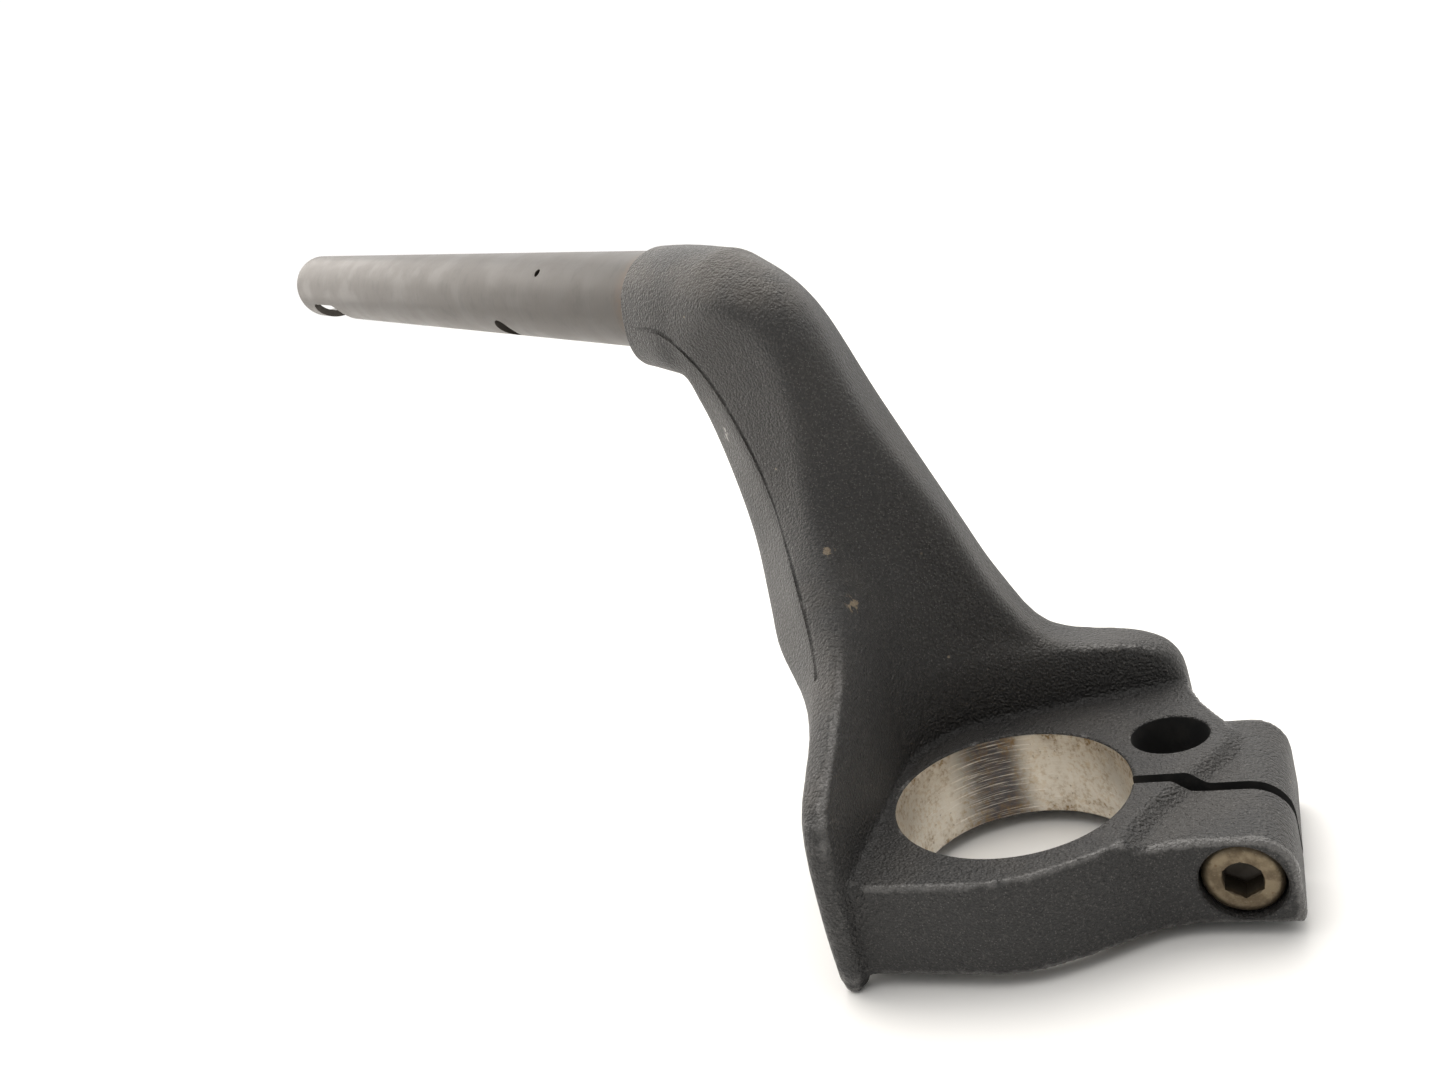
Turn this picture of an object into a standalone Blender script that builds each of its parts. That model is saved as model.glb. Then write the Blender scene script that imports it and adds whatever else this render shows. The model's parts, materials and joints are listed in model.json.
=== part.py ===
"""A right-hand clip-on handlebar for a motorcycle.

A cast arm clamps round a fork tube, rises past the top yoke and sweeps back to a
socket that holds a 22.2 mm steel grip tube. One socket-head bolt pinches the clamp.

Frame: the origin is on the fork tube's axis, in the top face of the clamp.
+Z runs up the fork tube, +X points from the bore to the pinch ear and +Y to the rear.
All the lengths below are in millimetres and are turned into metres when built.
"""

import math

import bmesh
import bpy
from mathutils import Matrix, Vector

MM = 0.001

# Clamp
FORK_RADIUS = 21.5
CLAMP_HEIGHT = 18.0
CLAMP_FRONT = -29.4
STEP_DROP = 2.3
FLANGE_TIP = 2.4

# Pinch ear, slit and bolt
EAR_END = 46.7
EAR_FRONT = -15.5
EAR_BACK = 25.5
EAR_SHOULDER = 6.5
SLIT_WIDTH = 2.6
SLIT_Y = 1.2
BOLT_X = 38.0
BOLT_Z = -10.5
BOLT_RADIUS = 4.0
CLEARANCE = 0.5
BOLT_LENGTH = 30.0
HEAD_RADIUS = 6.5
HEAD_HEIGHT = 8.0
HEAD_FACE_Y = -14.4
HEX_ACROSS_FLATS = 6.0
HEX_DEPTH = 4.5
SINK_RADIUS = 6.8

# Hole for the top yoke's bolt
YOKE_HOLE = (27.0, 17.0)
YOKE_HOLE_RADIUS = 7.0

# Grip tube and its socket
TUBE_RADIUS = 11.1
TUBE_WALL = 2.4
TUBE_AXIS = Vector((-0.840, 0.528, 0.127)).normalized()
TUBE_MOUTH = Vector((-67.5, 58.8, 97.2))
TUBE_REACH = 235.0
SOCKET_RADIUS = 12.3
SOCKET_DEPTH = 26.0
GAP = 0.25
SLOT_SPAN = (199.0, 226.0)
SLOT_WIDTH = 16.0
SLOT_ANGLE = -66

# Across the tube: FRONT points away from the arm's web, RISE points up
RISE = (Vector((0, 0, 1)) - TUBE_AXIS * TUBE_AXIS.z).normalized()
FRONT = RISE.cross(TUBE_AXIS).normalized()

SIDES = 64


def collection(name):
    """A new collection linked to the scene."""
    made = bpy.data.collections.new(name)
    bpy.context.scene.collection.children.link(made)
    return made


def material(name, colour, roughness, metallic):
    """A Principled material for one sub-part."""
    made = bpy.data.materials.new(name)
    made.use_nodes = True
    shader = made.node_tree.nodes["Principled BSDF"]
    shader.inputs["Base Color"].default_value = (*colour, 1)
    shader.inputs["Roughness"].default_value = roughness
    shader.inputs["Metallic"].default_value = metallic
    return made


def to_object(name, bm, into):
    """Turn a bmesh in millimetres into an object in metres."""
    bmesh.ops.scale(bm, vec=(MM, MM, MM), verts=bm.verts)
    bmesh.ops.recalc_face_normals(bm, faces=bm.faces)
    mesh = bpy.data.meshes.new(name)
    bm.to_mesh(mesh)
    bm.free()
    made = bpy.data.objects.new(name, mesh)
    into.objects.link(made)
    return made


def rod(name, start, end, radius, into, sides=SIDES, end_radius=None):
    """A cylinder or cone between two points."""
    start, end = Vector(start), Vector(end)
    along = end - start
    turn = along.to_track_quat("Z", "Y").to_matrix().to_4x4()
    bm = bmesh.new()
    bmesh.ops.create_cone(
        bm, cap_ends=True, segments=sides, depth=along.length,
        radius1=radius, radius2=radius if end_radius is None else end_radius,
        matrix=Matrix.Translation((start + end) / 2) @ turn,
    )
    return to_object(name, bm, into)


def box(name, low, high, into):
    """A box between two corners."""
    low, high = Vector(low), Vector(high)
    bm = bmesh.new()
    bmesh.ops.create_cube(
        bm, size=1, matrix=Matrix.Translation((low + high) / 2) @ Matrix.Diagonal((*(high - low), 1))
    )
    return to_object(name, bm, into)


def loft(name, rings, into):
    """A closed skin over rings that all have the same number of points."""
    bm = bmesh.new()
    rows = [[bm.verts.new(point) for point in ring] for ring in rings]
    count = len(rows[0])
    for lower, upper in zip(rows, rows[1:]):
        for i in range(count):
            j = (i + 1) % count
            bm.faces.new((lower[i], lower[j], upper[j], upper[i]))
    bm.faces.new(rows[0])
    bm.faces.new(rows[-1])
    return to_object(name, bm, into)


def combine(target, tool, operation):
    """Add a boolean and hide its tool, which stays in the cutters' collection."""
    change = target.modifiers.new(tool.name, "BOOLEAN")
    change.operation = operation
    change.object = tool
    change.solver = "EXACT"
    tool.hide_render = True
    tool.display_type = "WIRE"


# The arm follows seven guide rails. Each station lists, in order round the section,
# the flange's crest, the valley beside it, the web's front and back edges, the back
# corner, the outer heel and the flange's outer crease.
RAIL_CUTS = (2.6, 17, 3, 4, 8, 7, 2.2)
ARM_STATIONS = (
    # the clamp's bottom face
    ((-24.3, -31.5, -18.0), (-23, 24, -18.0), (29.3, 38, -18.0), (29.6, 46.5, -18.0),
     (-30, 46, -18.0), (-31, 6, -18.0), (-29.3, -31.5, -18.0)),
    # beside the fork bore
    ((-23.5, -32.2, -4), (-23, 24, -4), (29.3, 38, -4), (29.6, 46.5, -4),
     (-30, 46, -4), (-31, 6, -4), (-29, -32.2, -4)),
    # the flange's shoulder, and the web's top corner
    ((-23.6, -30.5, 13), (-22.5, 24, 7), (28, 38, 5), (28.6, 46.5, 4.5),
     (-31, 46, 6), (-32.5, 6, 10), (-28.7, -29.5, 12.5)),
    ((-24, -17.5, 21), (-22, 24, 14), (22, 37, 9.5), (22.5, 46.5, 9),
     (-34, 46, 13), (-38.5, 9.5, 19), (-29.4, -14.5, 20.5)),
    ((-25, -3, 28.8), (-21, 24.5, 21), (5, 34, 14), (5, 46.5, 13),
     (-40.5, 47.5, 20), (-47.5, 19.5, 25), (-31, 0, 28)),
    # up the leaning arm, where the flange sinks into a soft ridge
    ((-28, 11, 39), (-20, 26.5, 33), (-3, 32, 27), (-3.5, 46.5, 26),
     (-46, 50.5, 31), (-51.5, 29, 31.5), (-36, 13, 39)),
    ((-33, 24, 53), (-24, 28, 48), (-9, 31, 44), (-10, 46.5, 43),
     (-49.5, 53, 44), (-56.5, 41, 44.5), (-43, 29, 51)),
    ((-32, 27.5, 73), (-27, 29, 71), (-20, 31.5, 68), (-20.5, 50, 68),
     (-52.5, 57, 63), (-61.5, 49, 63), (-48.5, 34.5, 67)),
    # round the elbow
    ((-34, 28.5, 88), (-29.5, 32, 92), (-28, 38, 92), (-29.5, 52.5, 89.5),
     (-50, 58.5, 76.5), (-61.8, 45, 73), (-54.3, 37.5, 82)),
    ((-45, 31, 96), (-43, 36, 101.5), (-40.5, 42, 104), (-39.5, 54, 101),
     (-46.5, 59.5, 86), (-62.3, 44.5, 78.4), (-58, 38, 88.5)),
)
# The same seven rails as angles round the socket, from FRONT towards RISE
RAIL_ANGLES = (40, 65, 92, 135, 215, 316, 366)
SOCKET_RINGS = (13.0, 0.0)
SOCKET_LOBES = (4.4, 3.2)
LOBE_ANGLE = 306
LOBE_POWER = 6
ROUND_STEPS = 6
EDGE_STEPS = 3
RINGS_PER_STATION = 4


def outline_between(groups):
    """Join groups of points into one outline, with EDGE_STEPS segments between groups."""
    outline = []
    for i, group in enumerate(groups):
        following = groups[(i + 1) % len(groups)][0]
        outline.extend(group)
        for k in range(1, EDGE_STEPS):
            outline.append(group[-1].lerp(following, k / EDGE_STEPS))
    return outline


def rounded(corners, cuts):
    """Round each corner of a closed outline; cuts says how far back each arc starts."""
    groups = []
    for i, corner in enumerate(corners):
        before = corners[i - 1] - corner
        after = corners[(i + 1) % len(corners)] - corner
        start = corner + before.normalized() * min(cuts[i], 0.47 * before.length)
        end = corner + after.normalized() * min(cuts[i], 0.47 * after.length)
        group = []
        for k in range(ROUND_STEPS + 1):
            t = k / ROUND_STEPS
            group.append(start * (1 - t) ** 2 + corner * 2 * t * (1 - t) + end * t ** 2)
        groups.append(group)
    return outline_between(groups)


def around_tube(degrees, radius, back):
    """A point round the tube's axis, some way back from the socket's mouth."""
    angle = math.radians(degrees)
    spoke = FRONT * math.cos(angle) + RISE * math.sin(angle)
    return TUBE_MOUTH - TUBE_AXIS * back + spoke * radius


def socket_ring(back, lobe):
    """A ring of the socket with the same points as the arm's outlines."""
    groups = []
    count = len(RAIL_ANGLES)
    for i, angle in enumerate(RAIL_ANGLES):
        before = (angle - RAIL_ANGLES[i - 1]) % 360
        after = (RAIL_ANGLES[(i + 1) % count] - angle) % 360
        group = []
        for k in range(ROUND_STEPS + 1):
            t = 2 * k / ROUND_STEPS - 1
            at = angle + t * 0.4 * (before if t < 0 else after)
            bulge = lobe * max(0.0, math.cos(math.radians(at - LOBE_ANGLE))) ** LOBE_POWER
            group.append(around_tube(at, SOCKET_RADIUS + bulge, back))
        groups.append(group)
    return outline_between(groups)


def smooth_rings(stations):
    """Rings on a Catmull-Rom curve through each point of the stations' outlines."""
    rings = []
    last = len(stations) - 1
    for i in range(last):
        a, b, c, d = (stations[min(max(i + k, 0), last)] for k in (-1, 0, 1, 2))
        for step in range(RINGS_PER_STATION):
            t = step / RINGS_PER_STATION
            rings.append([
                (2 * q + (r - p) * t + (2 * p - 5 * q + 4 * r - s) * t ** 2
                 + (3 * q - p - 3 * r + s) * t ** 3) / 2
                for p, q, r, s in zip(a, b, c, d)
            ])
    rings.append(stations[last])
    return rings


def arm_skin(into):
    """The arm from under the clamp to the socket's mouth."""
    stations = [rounded([Vector(point) for point in row], RAIL_CUTS) for row in ARM_STATIONS]
    stations += [socket_ring(back, lobe) for back, lobe in zip(SOCKET_RINGS, SOCKET_LOBES)]
    return loft("arm_skin", smooth_rings(stations), into)


def ring_outline():
    """The clamp ring seen from above, as pairs of a point and its slope below the step.

    The front is flat, the nose bends in to the ear, and the step ridge beside the ear
    slopes outwards by STEP_DROP on its way down.
    """
    front = [(-26, CLAMP_FRONT), (-3, CLAMP_FRONT), (2, -28.8), (7, -27.4), (12, -24.9), (17, -21.9)]
    ridge = [(21.6, -14), (24.9, -6), (28, -1), (31, 3.3), (35, 9.7), (36.9, 14.2), (37.2, 18.5)]
    back = [(35, 24), (32, 30), (30, 36), (29, 42), (-26, 42)]
    pairs = [(Vector(point), Vector((0, 0))) for point in front]
    pairs += [(Vector((20.6, -19.2)), Vector((2.4, 1.5)))]
    pairs += [(Vector(point), Vector((STEP_DROP, -0.3 * STEP_DROP))) for point in ridge]
    return pairs + [(Vector(point), Vector((0, 0))) for point in back]


def clamp_ring(into):
    """The ring round the fork tube, whose top drops over the step to the ear."""
    pairs = ring_outline()
    top = [(*point, 0) for point, slope in pairs]
    step = [(*(point + slope), -STEP_DROP) for point, slope in pairs]
    bottom = [(*(point + slope), -CLAMP_HEIGHT) for point, slope in pairs]
    return loft("clamp_ring", [bottom, step, top], into)


def pinch_ear(into, cutters):
    """The ear beside the ring: a plan outline cut to a profile with a round shoulder."""
    plan = [
        (12, -20), (17.5, -21.6), (20.8, -19.4), (24, -17.4), (28, -16), (32, EAR_FRONT),
        (EAR_END, EAR_FRONT), (EAR_END, EAR_BACK), (34.5, EAR_BACK), (12, EAR_BACK),
    ]
    ear = loft("pinch_ear", [[(x, y, z) for x, y in plan] for z in (-CLAMP_HEIGHT, 0)], into)
    profile = [(0, -CLAMP_HEIGHT - 1), (EAR_END + 1, -CLAMP_HEIGHT - 1)]
    for degrees in range(0, 91, 9):
        angle = math.radians(degrees)
        profile.append((
            EAR_END - EAR_SHOULDER * (1 - math.cos(angle)),
            -STEP_DROP - EAR_SHOULDER * (1 - math.sin(angle)),
        ))
    profile.append((0, -STEP_DROP))
    block = loft("ear_profile", [[(x, y, z) for x, z in profile] for y in (-40, 50)], cutters)
    combine(ear, block, "INTERSECT")
    return ear


def flange_tip(into):
    """The small lip in which the flange ends, just below the clamp's bottom face."""
    upper = [(-29.2, -30), (-28, -31.4), (-25.4, -31.4), (-24.2, -29.4), (-22, -22), (-29.2, -22)]
    lower = [(-28.9, -30), (-28, -31), (-26, -31), (-25.4, -29.4), (-25, -27), (-28.9, -27)]
    return loft("flange_tip", [
        [(x, y, -CLAMP_HEIGHT - FLANGE_TIP) for x, y in lower], [(x, y, -14) for x, y in upper],
    ], into)


def build_arm(parts, cutters):
    """The cast arm: skin, clamp ring and ear joined, then bored, slit and drilled."""
    arm = arm_skin(parts)
    arm.name = "arm_casting"
    combine(arm, clamp_ring(cutters), "UNION")
    combine(arm, pinch_ear(cutters, cutters), "UNION")
    combine(arm, flange_tip(cutters), "UNION")
    below = -CLAMP_HEIGHT - 10
    x, y = YOKE_HOLE
    seat_y = HEAD_FACE_Y + HEAD_HEIGHT + GAP
    deep = TUBE_MOUTH - TUBE_AXIS * SOCKET_DEPTH
    cuts = (
        rod("fork_bore", (0, 0, below), (0, 0, 1), FORK_RADIUS, cutters, 96),
        rod("yoke_hole", (x, y, below), (x, y, 2), YOKE_HOLE_RADIUS, cutters, 40),
        box("slit", (15, SLIT_Y - SLIT_WIDTH / 2, below), (60, SLIT_Y + SLIT_WIDTH / 2, 5), cutters),
        rod("head_sink", (BOLT_X, -30, BOLT_Z), (BOLT_X, seat_y, BOLT_Z), SINK_RADIUS, cutters, 48),
        rod("bolt_way", (BOLT_X, -30, BOLT_Z), (BOLT_X, 40, BOLT_Z), BOLT_RADIUS + CLEARANCE, cutters, 32),
        rod("tube_socket", TUBE_MOUTH + TUBE_AXIS * 20, deep, TUBE_RADIUS + GAP, cutters),
    )
    for cut in cuts:
        combine(arm, cut, "DIFFERENCE")
    arm.data.materials.append(material("powder_coat", (0.022, 0.021, 0.020), 0.55, 0.0))
    return arm


def end_slot(into):
    """A tool for the rounded slot in the tube's underside, a little way from its end."""
    low, high = SLOT_SPAN
    half = SLOT_WIDTH / 2
    across = around_tube(SLOT_ANGLE + 90, 1, 0) - TUBE_MOUTH
    corners = [
        TUBE_AXIS * along + across * side
        for along, side in ((low, -half), (high, -half), (high, half), (low, half))
    ]
    flat = rounded(corners, [SLOT_WIDTH / 3] * 4)
    depths = [around_tube(SLOT_ANGLE, depth, 0) for depth in (0, TUBE_RADIUS + 5)]
    return loft("end_slot", [[point + depth for point in flat] for depth in depths], into)


def build_tube(parts, cutters):
    """The grip tube, with a locating hole, a wiring hole and a slot near its end."""
    inner_end = TUBE_MOUTH - TUBE_AXIS * (SOCKET_DEPTH - GAP)
    outer_end = TUBE_MOUTH + TUBE_AXIS * TUBE_REACH
    tube = rod("grip_tube", inner_end, outer_end, TUBE_RADIUS, parts)
    hollow = rod(
        "tube_hollow", inner_end - TUBE_AXIS, outer_end + TUBE_AXIS, TUBE_RADIUS - TUBE_WALL, cutters
    )
    combine(tube, hollow, "DIFFERENCE")
    for name, along, degrees, radius in (
        ("locating_hole", 45.0, 47, 1.1),
        ("wiring_hole", 70.5, -44, 4.0),
    ):
        centre = around_tube(degrees, 0, -along)
        outside = around_tube(degrees, TUBE_RADIUS + 5, -along)
        combine(tube, rod(name, centre, outside, radius, cutters, 32), "DIFFERENCE")
    combine(tube, end_slot(cutters), "DIFFERENCE")
    tube.data.materials.append(material("tube_steel", (0.045, 0.040, 0.036), 0.38, 0.6))
    return tube


def build_bolt(parts, cutters):
    """The M8 socket-head bolt, turned about its own axis, with its head to the front."""
    tip = -HEAD_HEIGHT - BOLT_LENGTH
    profile = [
        (0, 0), (HEAD_RADIUS - 0.9, 0), (HEAD_RADIUS - 0.25, -0.3), (HEAD_RADIUS, -0.9),
        (HEAD_RADIUS, -HEAD_HEIGHT), (BOLT_RADIUS, -HEAD_HEIGHT),
        (BOLT_RADIUS, tip + 0.8), (BOLT_RADIUS - 0.8, tip), (0, tip),
    ]
    mesh = bpy.data.meshes.new("clamp_bolt")
    edges = [(i, i + 1) for i in range(len(profile) - 1)]
    mesh.from_pydata([(r * MM, 0, z * MM) for r, z in profile], edges, [])
    bolt = bpy.data.objects.new("clamp_bolt", mesh)
    parts.objects.link(bolt)
    bolt.location = Vector((BOLT_X, HEAD_FACE_Y, BOLT_Z)) * MM
    bolt.rotation_euler = (math.radians(90), 0, 0)
    spin = bolt.modifiers.new("turned", "SCREW")
    spin.angle = 2 * math.pi
    spin.steps = 48
    spin.render_steps = 48
    spin.use_merge_vertices = True
    spin.merge_threshold = 0.00001
    hexagon = rod(
        "hex_key", (BOLT_X, HEAD_FACE_Y + HEX_DEPTH, BOLT_Z), (BOLT_X, HEAD_FACE_Y - 2, BOLT_Z),
        HEX_ACROSS_FLATS / math.sqrt(3), cutters, 6,
    )
    combine(bolt, hexagon, "DIFFERENCE")
    mesh.materials.append(material("bolt_steel", (0.20, 0.17, 0.13), 0.40, 0.9))
    return bolt


def main():
    """Clear the scene and build the assembly."""
    for old in list(bpy.data.objects):
        bpy.data.objects.remove(old)
    parts = collection("clip_on_handlebar")
    cutters = collection("cutters")
    build_arm(parts, cutters)
    build_tube(parts, cutters)
    build_bolt(parts, cutters)


main()
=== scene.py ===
# %% [markdown]
# # A clip-on handlebar
# A motorcycle's clip-on bar has three parts: a cast arm that clamps round the fork
# tube, a steel tube that carries the grip, and one bolt that pinches the clamp. The
# measured model already holds their sizes, so it is loaded first as a fixed frame.
# Everything here is built onto that frame, in the same metres and the same axes.

# %% Load the measured model
import json
import math

import bmesh
import bpy
import numpy as np
from mathutils import Matrix, Vector


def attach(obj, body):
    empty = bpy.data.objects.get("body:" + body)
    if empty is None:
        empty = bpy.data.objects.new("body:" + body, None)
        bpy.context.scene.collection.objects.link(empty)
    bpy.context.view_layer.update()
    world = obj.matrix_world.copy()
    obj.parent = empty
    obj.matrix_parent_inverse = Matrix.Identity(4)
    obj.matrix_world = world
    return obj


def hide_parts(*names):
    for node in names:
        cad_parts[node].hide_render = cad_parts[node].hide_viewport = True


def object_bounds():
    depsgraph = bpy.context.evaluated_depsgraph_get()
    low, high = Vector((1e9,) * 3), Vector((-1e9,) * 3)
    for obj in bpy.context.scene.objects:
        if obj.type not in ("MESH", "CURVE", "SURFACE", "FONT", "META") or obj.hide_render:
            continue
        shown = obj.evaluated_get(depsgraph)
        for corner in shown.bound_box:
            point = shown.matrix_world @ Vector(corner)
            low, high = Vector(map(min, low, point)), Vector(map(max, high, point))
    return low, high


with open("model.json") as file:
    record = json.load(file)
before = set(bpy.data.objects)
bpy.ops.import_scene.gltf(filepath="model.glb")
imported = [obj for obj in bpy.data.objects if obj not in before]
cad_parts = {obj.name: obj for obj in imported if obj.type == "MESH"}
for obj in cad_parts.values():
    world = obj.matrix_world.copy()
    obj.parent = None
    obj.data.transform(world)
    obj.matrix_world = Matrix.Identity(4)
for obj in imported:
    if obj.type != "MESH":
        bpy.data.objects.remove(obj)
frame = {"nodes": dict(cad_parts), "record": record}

scene = bpy.context.scene
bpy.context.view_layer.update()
MM = 0.001

# %% [markdown]
# Three things give every position: the fork bore, whose axis is +Z through the
# origin; the tube's end face, which the record keeps as a mount with its axis; and
# the boxes of the nodes. Lengths below are in millimetres and are turned into
# metres when a mesh is made, because a workshop drawing reads that way.

# %% Sizes and directions
mounts = {mount["name"]: mount for mount in frame["record"]["mounts"]}
tube_end = Vector(mounts["tube_end_face"]["pos_m"])
tube_axis = Vector(mounts["tube_end_face"]["axis"]).normalized()
TUBE_RADIUS = 11.1
TUBE_BORE = 8.7
TUBE_REACH = 235.0
tube_rise = (Vector((0, 0, 1)) - tube_axis * tube_axis.z).normalized()
tube_front = tube_rise.cross(tube_axis).normalized()
FORK_RADIUS = 21.5
CLAMP_HEIGHT = 18.0
SLIT_Y, SLIT_WIDTH = 1.2, 2.6
BOLT_X, BOLT_Z = 38.0, -10.5
YOKE_X, YOKE_Y, YOKE_RADIUS = 27.0, 17.0, 7.0
SINK_RADIUS, SINK_DEPTH = 6.8, 8.25
SOCKET_DEPTH, SOCKET_GAP = 26.0, 0.25
HEAD_FACE_Y, HEAD_HEIGHT = -14.4, 8.0
socket_mouth = Vector((-67.5, 58.8, 97.2)) * MM
print("tube runs", round((tube_end - socket_mouth).dot(tube_axis) / MM, 1), "mm from its socket")

# %% [markdown]
# Two small helpers do most of the work. One turns a profile about an axis, as a
# lathe does: a row of points is spun through a full circle. The other keeps what
# the modifiers made as the mesh itself, so that the next step can start from it.

# %% Helpers for shapes
def to_piece(name, bm):
    """Make an object of a bmesh, with its normals pointing outwards."""
    bmesh.ops.recalc_face_normals(bm, faces=bm.faces)
    mesh = bpy.data.meshes.new(name)
    bm.to_mesh(mesh)
    bm.free()
    made = bpy.data.objects.new(name, mesh)
    scene.collection.objects.link(made)
    return made


def place(bm, origin, axis):
    """Stand a shape that was made along Z in millimetres on origin, along axis."""
    turn = Vector(axis).to_track_quat("Z", "X").to_matrix().to_4x4()
    bmesh.ops.transform(
        bm, matrix=Matrix.Translation(origin) @ turn @ Matrix.Scale(MM, 4), verts=bm.verts
    )


def lathe(profile, steps, closed=False):
    """Spin a profile of (radius, height) pairs about Z."""
    bm = bmesh.new()
    points = [bm.verts.new((radius, 0, height)) for radius, height in profile]
    rows = list(zip(points, points[1:]))
    if closed:
        rows.append((points[-1], points[0]))
    edges = [bm.edges.new(row) for row in rows]
    bmesh.ops.spin(
        bm, geom=points + edges, cent=(0, 0, 0), axis=(0, 0, 1),
        angle=2 * math.pi, steps=steps, use_merge=True,
    )
    bmesh.ops.remove_doubles(bm, verts=bm.verts, dist=0.0005)
    return bm


def turned(name, profile, origin, axis, steps=96, closed=False):
    """A turned piece in its place."""
    bm = lathe(profile, steps, closed)
    place(bm, origin, axis)
    return to_piece(name, bm)


def settle(piece):
    """Keep what the modifiers make as the piece's own mesh."""
    graph = bpy.context.evaluated_depsgraph_get()
    piece.data = bpy.data.meshes.new_from_object(
        piece.evaluated_get(graph), preserve_all_data_layers=True, depsgraph=graph
    )
    piece.modifiers.clear()


def cut(piece, tools):
    """Cut the piece with each tool, then throw the tools away."""
    for tool in tools:
        change = piece.modifiers.new(tool.name, "BOOLEAN")
        change.operation = "DIFFERENCE"
        change.solver = "EXACT"
        change.object = tool
    settle(piece)
    for tool in tools:
        bpy.data.objects.remove(tool)
    print(piece.name, len(piece.data.vertices), "vertices after", len(tools), "cuts")

# %% [markdown]
# ## The cast arm
# The real arm is an aluminium casting: soft fillets everywhere the mould shaped it,
# and crisp edges only where a tool has bored or sawn it. The measured model has the
# right forms with sharp edges. So the bores are plugged and the slit is closed, the
# whole body is remeshed in small even squares and smoothed, which rounds each edge
# as a casting's are, and afterwards the machined faces are cut again.

# %% Plug the bores and close the slit
cad_arm = frame["nodes"]["arm_casting"]
bm = bmesh.new()
bm.from_mesh(cad_arm.data)
bmesh.ops.remove_doubles(bm, verts=bm.verts, dist=0.000001)
SLIT_START, OVERLAP = 15.0, 0.05
for side in (-1, 1):
    wall = SLIT_Y + side * SLIT_WIDTH / 2
    for vert in bm.verts:
        if abs(vert.co.y / MM - wall) < 0.01 and vert.co.x / MM > SLIT_START:
            vert.co.y = (SLIT_Y - side * OVERLAP) * MM
MOUTH_SPARE = 3.0
for vert in bm.verts:
    if abs((vert.co - socket_mouth).dot(tube_axis)) < 0.00001:
        vert.co += tube_axis * MOUTH_SPARE * MM

# each plug: its foot, its axis, its radius and its height
PLUGS = (
    ((0, 0, -CLAMP_HEIGHT), (0, 0, 1), 22.0, CLAMP_HEIGHT),
    ((YOKE_X, YOKE_Y, -CLAMP_HEIGHT), (0, 0, 1), 7.4, CLAMP_HEIGHT),
    ((BOLT_X, -15.5, BOLT_Z), (0, 1, 0), 7.1, 12),
    ((BOLT_X, -15.5, BOLT_Z), (0, 1, 0), 4.8, 41),
)
for foot, axis, radius, height in PLUGS:
    plug = lathe([(0, 0), (radius, 0), (radius, height), (0, height)], 64)
    place(plug, Vector(foot) * MM, axis)
    spare = bpy.data.meshes.new("plug")
    plug.to_mesh(spare)
    plug.free()
    bm.from_mesh(spare)
plug = lathe([(0, -27), (11.7, -27), (11.7, MOUTH_SPARE), (0, MOUTH_SPARE)], 64)
place(plug, socket_mouth, tube_axis)
plug.to_mesh(spare)
plug.free()
bm.from_mesh(spare)
arm = to_piece("cast_arm", bm)
print("plugged arm:", len(arm.data.polygons), "faces")

# %% [markdown]
# The voxel size sets how fine the new skin is, and the number of smoothing passes
# sets the fillet: more passes on the same squares round an edge further.

# %% Cast fillets
VOXEL = 0.72
fine = arm.modifiers.new("fine skin", "REMESH")
fine.mode = "VOXEL"
fine.voxel_size = VOXEL * MM
settle(arm)
soften = arm.modifiers.new("cast fillets", "SMOOTH")
soften.factor = 0.5
soften.iterations = 5
settle(arm)
print("cast skin:", len(arm.data.polygons), "faces")

# %% [markdown]
# The upper arm and the elbow have no real edges at all, so they are smoothed far
# more. A vertex group says how much: nothing at the clamp, all of it from 45 mm up.

# %% Smooth the elbow
FADE_FROM, FADE_TO = 25.0, 45.0
upper = arm.vertex_groups.new(name="upper_arm")
for vert in arm.data.vertices:
    share = (vert.co.z / MM - FADE_FROM) / (FADE_TO - FADE_FROM)
    upper.add([vert.index], min(max(share, 0), 1), "REPLACE")
flow = arm.modifiers.new("elbow", "SMOOTH")
flow.vertex_group = "upper_arm"
flow.factor = 0.5
flow.iterations = 45
settle(arm)
arm.vertex_groups.clear()
print("upper arm:", sum(vert.co.z / MM > FADE_FROM for vert in arm.data.vertices), "vertices smoothed")

# %% [markdown]
# Paint rubs off the edges that stick out, and those edges also get a painted
# highlight; the hollows get painted shade. How far a point stands out from the
# points around it says which is which, so that number is kept on the mesh, and
# the paint's material reads it later.

# %% Measure how sharply the skin bends
def bend(mesh, passes):
    """For each vertex, above 0 on an outer edge and below 0 in a hollow."""
    count = len(mesh.vertices)
    co = np.empty(count * 3)
    mesh.vertices.foreach_get("co", co)
    co = co.reshape(-1, 3) / MM
    normal = np.empty(count * 3)
    mesh.vertices.foreach_get("normal", normal)
    normal = normal.reshape(-1, 3)
    pairs = np.empty(len(mesh.edges) * 2, int)
    mesh.edges.foreach_get("vertices", pairs)
    a, b = pairs.reshape(-1, 2).T
    degree = np.bincount(np.r_[a, b], minlength=count).clip(1)

    def around(values):
        """The mean of each vertex's neighbours."""
        return (np.bincount(a, values[b], count) + np.bincount(b, values[a], count)) / degree

    mean = np.stack([around(co[:, i]) for i in range(3)], 1)
    out = ((co - mean) * normal).sum(1) / VOXEL ** 2
    for _ in range(passes):
        out = (out + around(out)) / 2
    return out


curve = bend(arm.data, 3)
arm.data.attributes.new("bend", "FLOAT", "POINT").data.foreach_set("value", curve.astype(np.float32))
print("bend, least to most:", np.percentile(curve, [0, 5, 50, 90, 95, 99, 100]).round(3), "per mm")

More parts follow.
